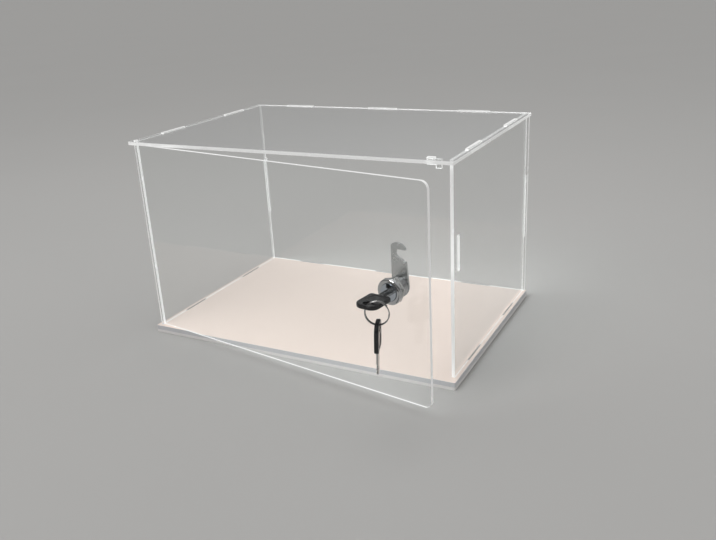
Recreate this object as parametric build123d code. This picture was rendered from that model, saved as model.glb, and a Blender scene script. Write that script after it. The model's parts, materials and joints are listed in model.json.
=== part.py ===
from build123d import *
import os
from math import cos, hypot, radians, sin, sqrt

# Lockable display case of clear acrylic sheet on a white base, with its door ajar.
# Lengths are in millimetres. The origin is the centre of the base's underside.
# X points right, Y points back and Z points up, as seen by someone facing the door.

# Case
case_width = 330.0
case_depth = 222.0
case_height = 200.0
sheet = 3.0
deck_thickness = 4.5
bottom_thickness = 3.0
plate_corner_radius = 1.2
side_wall_inset = 3.5
wall_front_inset = 8.9
back_wall_side_inset = 1.5
back_wall_back_inset = 0.5
tab_length = 34.0
back_wall_tab_pitch = 105.0
side_wall_back_tab_height = 66.0
tab_proud = 0.8
back_tab_proud = 0.4
side_tab_share = 0.25
slot_clearance = 0.1

# Door
pivot_from_left = 5.0
pivot_radius = 2.1
pivot_clearance = 0.05
pivot_swing_clearance = 0.3
door_past_case = 2.4
door_foot_gap = 1.0
door_head_gap = 0.5
door_corner_radius = 6.5
door_rest_opening = 9.3

# Door stop under the front right end of the top panel
stop_from_right = 13.0
stop_length = 12.5
stop_height = 2.5
stop_leg_width = 5.0
stop_leg_drop = 5.2
stop_tab_width = 7.0
stop_gap = 0.3

# Lock housing, whose axis is square to the door
lock_from_free_edge = 35.4
lock_height = 104.2
bezel_radius = 11.0
bezel_face_radius = 9.6
bezel_rim = 2.2
bezel_bulge_out_share = 0.25
bezel_bulge_forward_share = 1 / 3
bezel_thickness = 3.1
barrel_radius = 9.0
barrel_length = 13.8
barrel_flats = 16.0
door_hole_clearance = 0.1
stop_lip_height = 0.9
stop_lip_inner_radius = 7.3
stop_lip_margin_angle = 1.0
wafer_groove_depth = 1.1

# Washer and nut behind the door
washer_thickness = 0.4
washer_ring_radius = 9.5
washer_tooth_radius = 10.2
washer_tooth_width = 1.5
washer_tooth_count = 14
nut_across_flats = 19.6
nut_sides = 6
nut_thickness = 2.2
nut_rest_turn = 71.0
nut_chamfer_share = 0.5
thread_clearance = 0.05

# Plug
plug_radius = 5.5
plug_flange_radius = 7.2
plug_flange_thickness = 1.5
plug_proud = 0.3
running_gap = 0.05
square_side = 7.0
square_corner_radius = 4.4
square_clearance = 0.1

# Wafers and their springs
wafer_count = 4
wafer_pitch = 2.4
first_wafer_depth = 0.2
wafer_thickness = 1.0
wafer_width = 6.0
wafer_clearance = 0.05
wafer_end_gap = 0.1
wafer_ear_width = 0.8
wafer_ear_offset = 2.1
wafer_ear_height = 1.4
spring_diameter = 1.0
spring_length = 3.2

# Stop washer, cam and screw
stop_washer_radius = 6.9
stop_washer_thickness = 1.0
stop_tab_radius = 8.7
stop_tab_angle = 40.0
quarter_turn = 90.0
half_turn = 180.0
full_turn = 360.0
cam_thickness = 2.0
cam_half_width = 8.0
cam_corner_radius = 2.0
crown_offset = 2.0
crown_rise = 2.4
notch_end_offset = 3.0
notch_corner_radius = 1.6
hook_wall_clearance = 0.9
hook_inner_clearance = 1.6
claw_thickness = 5.4
claw_tip_inset = 2.2
claw_tip_thickness = 1.4
lip_inset = 1.8
lip_drop = 4.6
cam_slot_side_clearance = 1.3
cam_slot_drop = 1.7
cam_slot_top_clearance = 6.1
cam_washer_radius = 5.2
cam_washer_thickness = 0.8
screw_radius = 1.9
screw_length = 7.5
screw_head_radius = 4.0
screw_head_height = 2.4
screw_rim_share = 0.5
screw_crown_share = 1 / 3
screw_recess_width = 1.1
screw_recess_length = 4.6
screw_recess_depth = 1.3

# Keys
blade_width = 7.6
blade_thickness = 1.6
blade_inserted = 11.4
blade_outside = 9.3
blade_tang = 12.0
blade_tip_bevel = 1.6
blade_groove_width = 1.3
blade_groove_depth = 0.4
keyway_clearance = 0.1
cut_floor_width = 0.9
cut_depths = [0.8, 1.3, 0.5, 1.0]
head_width = 20.0
head_length = 23.9
head_far_radius = 7.0
head_near_radius = 3.0
head_thickness = 3.6
head_edge_radius = 1.0
key_hole_radius = 3.6
key_hole_from_end = 5.3
head_recess_width = 11.0
head_recess_length = 11.0
head_recess_radius = 4.0
head_recess_depth = 0.4
head_recess_gap = 1.6

# Split ring through the key's head, and the spare key on it
ring_outer_radius = 10.0
ring_wire_radius = 0.5
ring_pitch = 1.45
ring_turns = 1.9
ring_yaw = 22.0
ring_seat_gap = 0.25
spare_yaw = 28.0
spare_hang = 2.45
spare_lean = 2.0

overrun = 1.0

# Places worked out from the sizes
base_top = bottom_thickness + deck_thickness
panel_bottom = case_height - sheet
wall_outer_x = case_width / 2 - side_wall_inset
wall_inner_x = wall_outer_x - sheet
wall_front_y = -case_depth / 2 + wall_front_inset
back_wall_back_y = case_depth / 2 - back_wall_back_inset
back_wall_front_y = back_wall_back_y - sheet
side_wall_length = back_wall_front_y - wall_front_y
wall_height = panel_bottom - base_top
wall_mid_z = base_top + wall_height / 2
side_tab_inset = side_wall_length * side_tab_share
side_tab_places = [wall_front_y + side_tab_inset, back_wall_front_y - side_tab_inset]
back_tab_places = [-back_wall_tab_pitch, 0, back_wall_tab_pitch]

pivot_x = -case_width / 2 + pivot_from_left
pivot_y = wall_front_y - hypot(pivot_radius, sheet / 2) - pivot_swing_clearance
door_bottom = base_top + door_foot_gap
door_top = panel_bottom - door_head_gap
door_reach = case_width - pivot_from_left + door_past_case
lock_from_pivot = door_reach - lock_from_free_edge

door_front = -sheet / 2
door_back = sheet / 2
bezel_front = door_front - bezel_thickness
barrel_rear = door_front + barrel_length
plug_face = bezel_front - plug_proud
flange_rear = plug_face + plug_flange_thickness
plug_shoulder = barrel_rear + running_gap
stop_washer_rear = plug_shoulder + stop_washer_thickness
cam_rear = stop_washer_rear + cam_thickness
cam_middle = stop_washer_rear + cam_thickness / 2
square_end = cam_rear - running_gap
screw_seat = cam_rear + cam_washer_thickness
screw_tip = screw_seat - screw_length
bore_radius = plug_radius + running_gap
recess_radius = plug_flange_radius + running_gap
recess_floor = flange_rear + running_gap

key_tip = plug_face + blade_inserted
head_face = plug_face - blade_outside
head_far = head_face - head_length
head_middle = (head_face + head_far) / 2
key_hole_y = head_far + key_hole_from_end
wafer_places = [flange_rear + first_wafer_depth + wafer_thickness + wafer_pitch * i for i in range(wafer_count)]

# The cam's notch straddles the right wall once the door is shut and the lock is turned
lock_x_shut = pivot_x + lock_from_pivot
wall_inner_reach = wall_inner_x - lock_x_shut
notch_low = wall_inner_reach - hook_inner_clearance
notch_high = wall_outer_x - lock_x_shut + hook_wall_clearance
cam_tip = notch_high + claw_thickness
tip_reach = hypot(crown_offset, cam_tip)
cam_slot_y = pivot_y + cam_middle
cam_slot_width = cam_thickness + 2 * cam_slot_side_clearance
cam_slot_bottom = lock_height - cam_slot_drop
cam_slot_top = lock_height + sqrt(tip_reach**2 - wall_inner_reach**2) + cam_slot_top_clearance

# The ring hangs on the stretch of the head between its hole and its side
ring_radius = ring_outer_radius - ring_wire_radius
ring_inner_reach = ring_radius - ring_wire_radius - ring_seat_gap
ring_bite = head_width / 2 / cos(radians(ring_yaw))
ring_side = (key_hole_radius + ring_bite) / 2
ring_half_bite = (ring_bite - key_hole_radius) / 2
ring_drop = sqrt(ring_inner_reach**2 - ring_half_bite**2) - head_thickness / 2
ring_line = Vector(cos(radians(ring_yaw)), sin(radians(ring_yaw)), 0)
spare_line = Vector(cos(radians(spare_yaw)), sin(radians(spare_yaw)), 0)
spare_across = Vector(sin(radians(spare_yaw)), -cos(radians(spare_yaw)), 0)
ring_centre = Vector(0, key_hole_y, 0) + ring_line * ring_side + Vector(0, 0, -ring_drop)
spare_hole_centre = ring_centre + Vector(0, 0, -ring_radius - spare_hang)

door_place = Pos(pivot_x, pivot_y, 0) * Rot(0, 0, -door_rest_opening)
lock_place = door_place * Pos(lock_from_pivot, 0, lock_height)
spare_plane = Plane(origin=spare_hole_centre, x_dir=spare_across, z_dir=spare_line)
spare_place = spare_plane.location * Rot(-spare_lean, 0, 0) * Pos(0, -key_hole_y, 0)


def span(low_x, low_y, high_x, high_y):
    """A flat rectangle between two corners."""
    return Pos((low_x + high_x) / 2, (low_y + high_y) / 2) * Rectangle(high_x - low_x, high_y - low_y)


def upright(sketch, front, back):
    """A plate that faces the door's front: sketch x is X, sketch y is Z, from front to back along Y."""
    return Pos(0, back, 0) * extrude(Plane.XZ * sketch, amount=back - front)


def sideways(sketch, low_x, high_x):
    """A plate that faces the side: sketch x is Y, sketch y is Z, from low_x to high_x."""
    return Pos(low_x, 0, 0) * extrude(Plane.YZ * sketch, amount=high_x - low_x)


def level(sketch, bottom, top):
    """A plate that lies flat, from bottom to top."""
    return Pos(0, 0, bottom) * extrude(sketch, amount=top - bottom)


def turned(points):
    """A solid of revolution about the lock's axis, from points of radius and depth."""
    outline = make_face(Polyline(points, close=True))
    return revolve(outline, Axis.Y)


def pie(radius, start, size):
    """A flat sector of a disc."""
    arc = CenterArc((0, 0), radius, start, size)
    return make_face([Line((0, 0), arc @ 0), arc, Line(arc @ 1, (0, 0))])


def nearest(outline, point):
    """The outline's corner that lies nearest to a point."""
    return outline.vertices().sort_by_distance(point)[0]


def slots(depth_along_x, depth_along_y, places):
    """Slots for tabs, each widened by the clearance."""
    size_x = depth_along_x + 2 * slot_clearance
    size_y = depth_along_y + 2 * slot_clearance
    return Sketch() + [Pos(*place) * Rectangle(size_x, size_y) for place in places]


def wall_slots():
    """The slots that the top panel and the deck share."""
    side_mid = wall_outer_x - sheet / 2
    back_mid = back_wall_back_y - sheet / 2
    side_places = [(side * side_mid, y) for side in (-1, 1) for y in side_tab_places]
    back_places = [(x, back_mid) for x in back_tab_places]
    return slots(sheet, tab_length, side_places) + slots(tab_length, sheet, back_places)


def pivot_hole():
    """The round hole in which a pivot tab of the door turns."""
    return Pos(pivot_x, pivot_y) * Circle(pivot_radius + pivot_clearance)


def make_base_bottom():
    outline = RectangleRounded(case_width, case_depth, plate_corner_radius)
    return level(outline, 0, bottom_thickness)


def make_base_deck():
    outline = RectangleRounded(case_width, case_depth, plate_corner_radius)
    return level(outline - wall_slots() - pivot_hole(), bottom_thickness, base_top)


def stop_span():
    """Where the door stop stands: its left end, its right end, its front and its back."""
    right = case_width / 2 - stop_from_right
    front = pivot_y + door_back + stop_gap
    return right - stop_length, right, front, front + sheet


def make_top_panel():
    outline = RectangleRounded(case_width, case_depth, plate_corner_radius)
    left, right, front, back = stop_span()
    stop_slot = span(
        left - slot_clearance,
        front - slot_clearance,
        left + stop_tab_width + slot_clearance,
        back + slot_clearance,
    )
    return level(outline - wall_slots() - pivot_hole() - stop_slot, panel_bottom, case_height)


def make_door_stop():
    left, right, front, back = stop_span()
    body = span(left, panel_bottom - stop_height, right, panel_bottom)
    tab = span(left, panel_bottom, left + stop_tab_width, case_height + tab_proud)
    leg = span(right - stop_leg_width, panel_bottom - stop_leg_drop, right, panel_bottom)
    return upright(body + tab + leg, front, back)


def side_wall_outline():
    """A side wall with its tabs up, down and back, as seen from the side."""
    outline = span(wall_front_y, base_top, back_wall_front_y, panel_bottom)
    for y in side_tab_places:
        outline += span(y - tab_length / 2, panel_bottom, y + tab_length / 2, case_height + tab_proud)
        outline += span(y - tab_length / 2, bottom_thickness, y + tab_length / 2, base_top)
    tab_low = wall_mid_z - side_wall_back_tab_height / 2
    tab_high = wall_mid_z + side_wall_back_tab_height / 2
    return outline + span(back_wall_front_y, tab_low, back_wall_back_y + back_tab_proud, tab_high)


def make_left_wall():
    return sideways(side_wall_outline(), -wall_outer_x, -wall_inner_x)


def make_right_wall():
    height = cam_slot_top - cam_slot_bottom
    middle = (cam_slot_top + cam_slot_bottom) / 2
    cam_slot = Pos(cam_slot_y, middle) * SlotOverall(height, cam_slot_width, rotation=quarter_turn)
    return sideways(side_wall_outline() - cam_slot, wall_inner_x, wall_outer_x)


def make_back_wall():
    half = case_width / 2 - back_wall_side_inset
    outline = span(-half, base_top, half, panel_bottom)
    for x in back_tab_places:
        outline += span(x - tab_length / 2, panel_bottom, x + tab_length / 2, case_height + tab_proud)
        outline += span(x - tab_length / 2, bottom_thickness, x + tab_length / 2, base_top)
    side_mid = wall_outer_x - sheet / 2
    outline -= slots(sheet, side_wall_back_tab_height, [(-side_mid, wall_mid_z), (side_mid, wall_mid_z)])
    return upright(outline, back_wall_front_y, back_wall_back_y)


def barrel_section(clearance):
    """The barrel's round section with its two flats, widened by a clearance."""
    flat_height = barrel_flats + 2 * clearance
    return Circle(barrel_radius + clearance) & Rectangle(2 * barrel_radius + 2 * clearance, flat_height)


def make_door_panel():
    outline = span(-pivot_radius, door_bottom, door_reach, door_top)
    free_corners = outline.vertices().sort_by(Axis.X)[-2:]
    outline = fillet(free_corners, door_corner_radius)
    outline -= Pos(lock_from_pivot, lock_height) * barrel_section(door_hole_clearance)
    tab_section = Circle(pivot_radius) & Rectangle(2 * pivot_radius, sheet)
    lower_tab = level(tab_section, bottom_thickness, door_bottom)
    upper_tab = level(tab_section, door_top, case_height + tab_proud)
    return upright(outline, door_front, door_back) + lower_tab + upper_tab


def make_lock_housing():
    dome_radius = (bezel_radius + bezel_face_radius) / 2 + bezel_rim * bezel_bulge_out_share
    dome_mid = (dome_radius, bezel_front + bezel_rim * bezel_bulge_forward_share)
    lines = Polyline(
        (bezel_face_radius, bezel_front),
        (recess_radius, bezel_front),
        (recess_radius, recess_floor),
        (bore_radius, recess_floor),
        (bore_radius, barrel_rear),
        (barrel_radius, barrel_rear),
        (barrel_radius, door_front),
        (bezel_radius, door_front),
        (bezel_radius, door_front - bezel_rim),
    )
    dome = ThreePointArc((bezel_radius, door_front - bezel_rim), dome_mid, (bezel_face_radius, bezel_front))
    body = revolve(make_face([*lines.edges(), dome]), Axis.Y)
    ring = Circle(barrel_radius) - Circle(stop_lip_inner_radius)
    gap_start = quarter_turn - stop_tab_angle / 2 - stop_lip_margin_angle
    gap_size = quarter_turn + stop_tab_angle + 2 * stop_lip_margin_angle
    lip = ring - pie(barrel_radius + overrun, gap_start, gap_size)
    body += upright(lip, barrel_rear, barrel_rear + stop_lip_height)
    waste = Rectangle(2 * bezel_radius, 2 * bezel_radius) - Rectangle(2 * bezel_radius, barrel_flats)
    body -= upright(waste, door_front, barrel_rear + stop_lip_height + overrun)
    groove_reach = plug_radius + wafer_groove_depth
    groove = Rectangle(2 * groove_reach, wafer_width + 2 * wafer_clearance)
    first = wafer_places[0] - wafer_thickness
    last = wafer_places[-1] + wafer_thickness
    return body - upright(groove, first, last)


def make_lock_washer():
    tooth_length = 2 * (washer_tooth_radius - washer_ring_radius)
    tooth = Pos(washer_ring_radius, 0) * Rectangle(tooth_length, washer_tooth_width)
    outline = Circle(washer_ring_radius)
    for i in range(washer_tooth_count):
        outline += Rot(0, 0, full_turn * i / washer_tooth_count) * tooth
    return upright(outline - barrel_section(thread_clearance), door_back, door_back + washer_thickness)


def make_lock_nut():
    front = door_back + washer_thickness
    back = front + nut_thickness
    flat_radius = nut_across_flats / 2
    hexagon = RegularPolygon(flat_radius, nut_sides, major_radius=False, rotation=nut_rest_turn)
    corner_radius = flat_radius / cos(radians(half_turn / nut_sides))
    fall = (corner_radius - flat_radius) * nut_chamfer_share
    envelope = turned(
        [(0, front), (flat_radius, front), (corner_radius, front + fall), (corner_radius, back - fall),
         (flat_radius, back), (0, back)]
    )
    nut = upright(hexagon - Circle(barrel_radius + thread_clearance), front, back)
    return nut & envelope


def square_section(clearance):
    """The section of the plug's tail, widened by a clearance."""
    side = square_side + 2 * clearance
    return Rectangle(side, side) & Circle(square_corner_radius + clearance)


def make_lock_plug():
    body = turned(
        [(0, plug_face), (plug_flange_radius, plug_face), (plug_flange_radius, flange_rear),
         (plug_radius, flange_rear), (plug_radius, plug_shoulder), (0, plug_shoulder)]
    )
    body += upright(square_section(0), plug_shoulder, square_end)
    keyway = Rectangle(blade_width + 2 * keyway_clearance, blade_thickness + 2 * keyway_clearance)
    body -= upright(keyway, plug_face - overrun, key_tip + keyway_clearance)
    body -= upright(Circle(screw_radius + thread_clearance), screw_tip - thread_clearance, square_end + overrun)
    half_slot = wafer_thickness / 2 + wafer_clearance
    slot = Rectangle(2 * plug_radius + overrun, wafer_width + 2 * wafer_clearance)
    pocket = span(
        -spring_length / 2 - 2 * wafer_clearance,
        0,
        wafer_ear_offset + wafer_ear_width / 2 + 2 * wafer_clearance,
        wafer_width / 2 + wafer_ear_height + wafer_clearance,
    )
    for place in wafer_places:
        body -= upright(slot + pocket, place - half_slot, place + half_slot)
    return body


def make_wafer(place):
    outline = Rectangle(2 * plug_radius, wafer_width) & Circle(plug_radius - wafer_end_gap)
    ear_left = wafer_ear_offset - wafer_ear_width / 2
    ear_right = wafer_ear_offset + wafer_ear_width / 2
    outline += span(ear_left, 0, ear_right, wafer_width / 2 + wafer_ear_height)
    outline -= Rectangle(blade_width + 2 * keyway_clearance, blade_thickness + 2 * keyway_clearance)
    return upright(outline, place - wafer_thickness / 2, place + wafer_thickness / 2)


def make_wafer_springs():
    left = wafer_ear_offset - wafer_ear_width / 2 - spring_length
    height = wafer_width / 2 + spring_diameter / 2 + wafer_clearance
    spring = Pos(left, 0, height) * extrude(Plane.YZ * Circle(spring_diameter / 2), amount=spring_length)
    return Compound(children=[Pos(0, place, 0) * spring for place in wafer_places])


def make_stop_washer():
    outline = Circle(stop_washer_radius) + pie(stop_tab_radius, half_turn - stop_tab_angle / 2, stop_tab_angle)
    return upright(outline - square_section(square_clearance), plug_shoulder, stop_washer_rear)


def make_lock_cam():
    round_end = CenterArc((0, 0), cam_half_width, half_turn, half_turn)
    shoulder = (-cam_half_width, cam_tip - crown_rise)
    crown = (-crown_offset, cam_tip)
    claw_tip = (cam_half_width - claw_tip_inset, notch_high + claw_tip_thickness)
    claw_foot = (cam_half_width - claw_tip_inset, notch_high)
    notch_top = (-notch_end_offset, notch_high)
    notch_foot = (-notch_end_offset, notch_low)
    lip = (cam_half_width - lip_inset, notch_low - lip_drop)
    edges = [
        round_end,
        Line((-cam_half_width, 0), shoulder),
        ThreePointArc(shoulder, crown, claw_tip),
        Line(claw_tip, claw_foot),
        Line(claw_foot, notch_top),
        Line(notch_top, notch_foot),
        Line(notch_foot, lip),
        Line(lip, (cam_half_width, 0)),
    ]
    outline = make_face(edges)
    outline = fillet(nearest(outline, shoulder), cam_corner_radius)
    outline = fillet([nearest(outline, notch_top), nearest(outline, notch_foot)], notch_corner_radius)
    return upright(outline - square_section(square_clearance), stop_washer_rear, cam_rear)


def make_cam_washer():
    return upright(Circle(cam_washer_radius) - Circle(screw_radius + thread_clearance), cam_rear, screw_seat)


def make_cam_screw():
    head_rear = screw_seat + screw_head_height
    crown_radius = screw_head_radius - screw_head_height * screw_crown_share
    rim_rear = screw_seat + screw_head_height * screw_rim_share
    screw = turned(
        [(0, screw_tip), (screw_radius, screw_tip), (screw_radius, screw_seat), (screw_head_radius, screw_seat),
         (screw_head_radius, rim_rear), (crown_radius, head_rear), (0, head_rear)]
    )
    cross = Rectangle(screw_recess_width, screw_recess_length)
    cross += Rectangle(screw_recess_length, screw_recess_width)
    return screw - upright(cross, head_rear - screw_recess_depth, head_rear + overrun)


def make_key_blade():
    half = blade_width / 2
    near = head_face - blade_tang
    outline = make_face(
        Polyline(
            [(-half, near), (half, near), (half, key_tip - blade_tip_bevel), (half - blade_tip_bevel, key_tip),
             (blade_tip_bevel - half, key_tip), (-half, key_tip - blade_tip_bevel)],
            close=True,
        )
    )
    for place, depth in zip(wafer_places, cut_depths):
        floor = cut_floor_width / 2
        mouth = floor + depth + overrun
        outline -= make_face(
            Polyline(
                [(half - depth, place - floor), (half - depth, place + floor), (half + overrun, place + mouth),
                 (half + overrun, place - mouth)],
                close=True,
            )
        )
    blade = level(outline, -blade_thickness / 2, blade_thickness / 2)
    groove = span(-blade_groove_width, head_face, 0, key_tip + overrun)
    return blade - level(groove, blade_thickness / 2 - blade_groove_depth, blade_thickness / 2 + overrun)


def make_key_head():
    outline = Pos(0, head_middle) * Rectangle(head_width, head_length)
    outline = fillet(outline.vertices().sort_by(Axis.Y)[:2], head_far_radius)
    outline = fillet(outline.vertices().sort_by(Axis.Y)[-2:], head_near_radius)
    half = head_thickness / 2
    head = level(outline, -half, half)
    rims = [face.outer_wire().edges() for face in head.faces().filter_by(Axis.Z)]
    head = fillet([edge for rim in rims for edge in rim], head_edge_radius)
    head -= level(Pos(0, key_hole_y) * Circle(key_hole_radius), -half - overrun, half + overrun)
    recess_y = key_hole_y + key_hole_radius + head_recess_gap + head_recess_length / 2
    recess = Pos(0, recess_y) * RectangleRounded(head_recess_width, head_recess_length, head_recess_radius)
    head -= level(recess, half - head_recess_depth, half + overrun)
    head -= level(recess, -half - overrun, head_recess_depth - half)
    tang = span(-blade_width / 2, head_face - blade_tang, blade_width / 2, head_face + overrun)
    return head - level(tang, -blade_thickness / 2, blade_thickness / 2)


def make_key_ring():
    helix = Helix(ring_pitch, ring_pitch * ring_turns, ring_radius)
    section = Plane(origin=helix @ 0, z_dir=helix % 0) * Circle(ring_wire_radius)
    ring = sweep(section, path=helix, is_frenet=True)
    centred = Pos(0, 0, -ring_pitch * ring_turns / 2) * ring
    standing = Rot(0, 0, ring_yaw) * Rot(-quarter_turn, 0, 0) * centred
    return Pos(ring_centre.X, ring_centre.Y, ring_centre.Z) * standing


def build_parts():
    """Every sub-part in its place, by name."""
    blade = make_key_blade()
    head = make_key_head()
    case = {
        "base_bottom": make_base_bottom(),
        "base_deck": make_base_deck(),
        "left_wall": make_left_wall(),
        "right_wall": make_right_wall(),
        "back_wall": make_back_wall(),
        "top_panel": make_top_panel(),
        "door_stop": make_door_stop(),
    }
    lock = {
        "lock_housing": make_lock_housing(),
        "lock_washer": make_lock_washer(),
        "lock_nut": make_lock_nut(),
        "lock_plug": make_lock_plug(),
        "wafer_springs": make_wafer_springs(),
        "stop_washer": make_stop_washer(),
        "lock_cam": make_lock_cam(),
        "cam_washer": make_cam_washer(),
        "cam_screw": make_cam_screw(),
        "key_blade": blade,
        "key_head": head,
        "key_ring": make_key_ring(),
        "spare_key_blade": spare_place * blade,
        "spare_key_head": spare_place * head,
    }
    for number, place in enumerate(wafer_places, start=1):
        lock[f"wafer_{number}"] = make_wafer(place)
    parts = dict(case)
    parts["door_panel"] = door_place * make_door_panel()
    for name, shape in lock.items():
        parts[name] = lock_place * shape
    return parts


def main():
    os.makedirs("parts", exist_ok=True)
    for name, shape in build_parts().items():
        export_step(shape, os.path.join("parts", name + ".step"))
    pivot = lock_place.position
    axis = (sin(radians(door_rest_opening)), cos(radians(door_rest_opening)), 0)
    print("door pivot", pivot_x, pivot_y)
    print("lock centre", pivot.X, pivot.Y, pivot.Z, "axis", axis)
    hole = (lock_place * Pos(0, key_hole_y, 0)).position
    wire = (lock_place * Pos(ring_centre.X, ring_centre.Y, ring_centre.Z - ring_radius)).position
    print("key hole", hole.X, hole.Y, hole.Z, "ring's low point", wire.X, wire.Y, wire.Z)
    print("cam slot", cam_slot_y, cam_slot_bottom, cam_slot_top, "cam tip", cam_tip, "lock X shut", lock_x_shut)


main()
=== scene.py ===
"""Looks of a lockable clear display case: its sheets, white base, cam lock, keys and split ring."""

import json
import logging
import math
from collections.abc import Callable, Sequence
from dataclasses import dataclass
from enum import Enum

import bmesh
import bpy
from mathutils import Matrix, Vector

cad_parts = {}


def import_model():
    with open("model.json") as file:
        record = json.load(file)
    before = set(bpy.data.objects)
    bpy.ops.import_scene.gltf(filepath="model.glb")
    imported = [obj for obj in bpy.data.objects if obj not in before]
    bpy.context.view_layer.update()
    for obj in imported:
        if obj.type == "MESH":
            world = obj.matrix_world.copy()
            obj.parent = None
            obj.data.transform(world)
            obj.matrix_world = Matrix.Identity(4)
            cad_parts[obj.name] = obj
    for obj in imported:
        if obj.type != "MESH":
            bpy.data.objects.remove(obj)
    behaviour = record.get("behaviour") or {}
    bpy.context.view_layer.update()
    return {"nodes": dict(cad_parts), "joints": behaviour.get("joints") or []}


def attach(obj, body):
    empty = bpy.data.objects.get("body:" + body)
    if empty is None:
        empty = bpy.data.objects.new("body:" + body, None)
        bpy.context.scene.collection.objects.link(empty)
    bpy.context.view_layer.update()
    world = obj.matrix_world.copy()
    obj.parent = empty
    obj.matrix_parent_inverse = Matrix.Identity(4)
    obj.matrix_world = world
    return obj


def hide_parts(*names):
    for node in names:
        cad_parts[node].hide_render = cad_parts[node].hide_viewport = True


LOG = logging.getLogger("display_case")
MM = 0.001
FULL_TURN = 2 * math.pi
QUARTER_TURN = math.pi / 2
UP = (0.0, 0.0, 1.0)
COLOUR = tuple[float, float, float]
ACRYLIC_INDEX = 1.49

# Sockets of a colour mix, which share their names with its other sockets
MIX_COLOURS = slice(6, 8)
MIX_RESULT = 2

# Material slots of a dressed sheet
FACE_SLOT = 0
EDGE_SLOT = 1
NO_SLOT = -1


class Sheet(Enum):
    """The row axis along which a flat sheet has its thickness."""

    SIDE = (1.0, 0.0, 0.0)
    FRONT = (0.0, 1.0, 0.0)
    LEVEL = (0.0, 0.0, 1.0)


# Materials


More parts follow.
